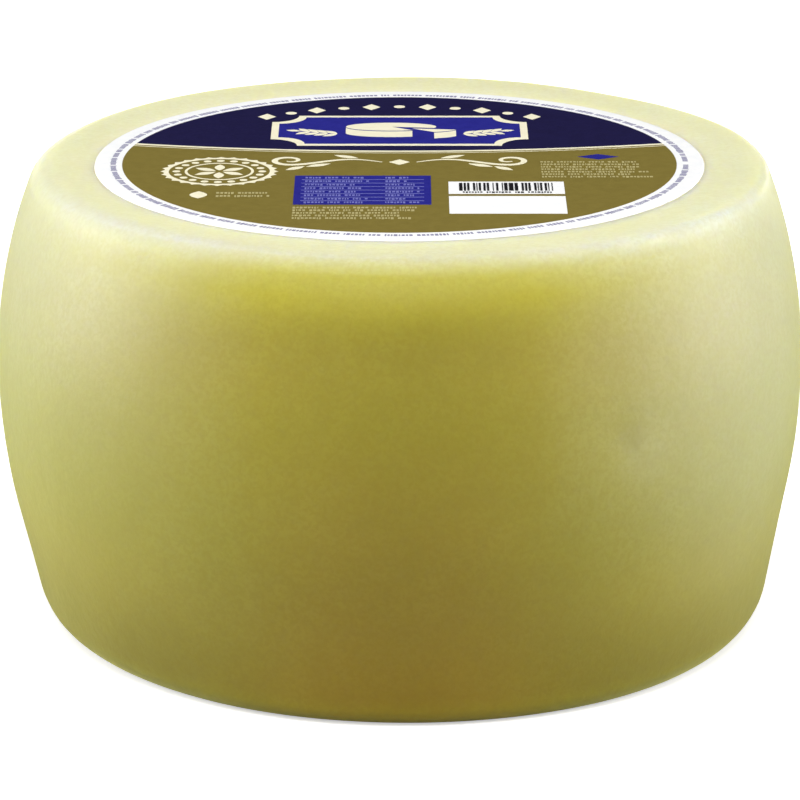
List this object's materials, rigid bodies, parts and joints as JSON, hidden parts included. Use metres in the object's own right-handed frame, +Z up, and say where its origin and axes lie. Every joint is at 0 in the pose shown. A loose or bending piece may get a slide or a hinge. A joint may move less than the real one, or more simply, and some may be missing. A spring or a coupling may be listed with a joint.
{
  "type": "parmesan wheel",
  "caption": "Small uncut wheel of hard aged cheese with bulging sides, soft shoulders and a round printed paper label on its top face.",
  "frame": {"origin": "centre of the foot, on the surface that the wheel stands on", "axes": "+Z up through the label; -Y is the front, where the foot of the label's print points; +X is on the right of someone facing the front"},
  "size_m": [0.236, 0.244, 0.1342],
  "materials": {
    "rind": "smooth satin cheese rind, slightly translucent",
    "label_paper": "coated paper with a satin varnish"
  },
  "bodies": {
    "root": {"cheese_wheel": "rind", "paper_label": "label_paper"}
  },
  "joints": []
}
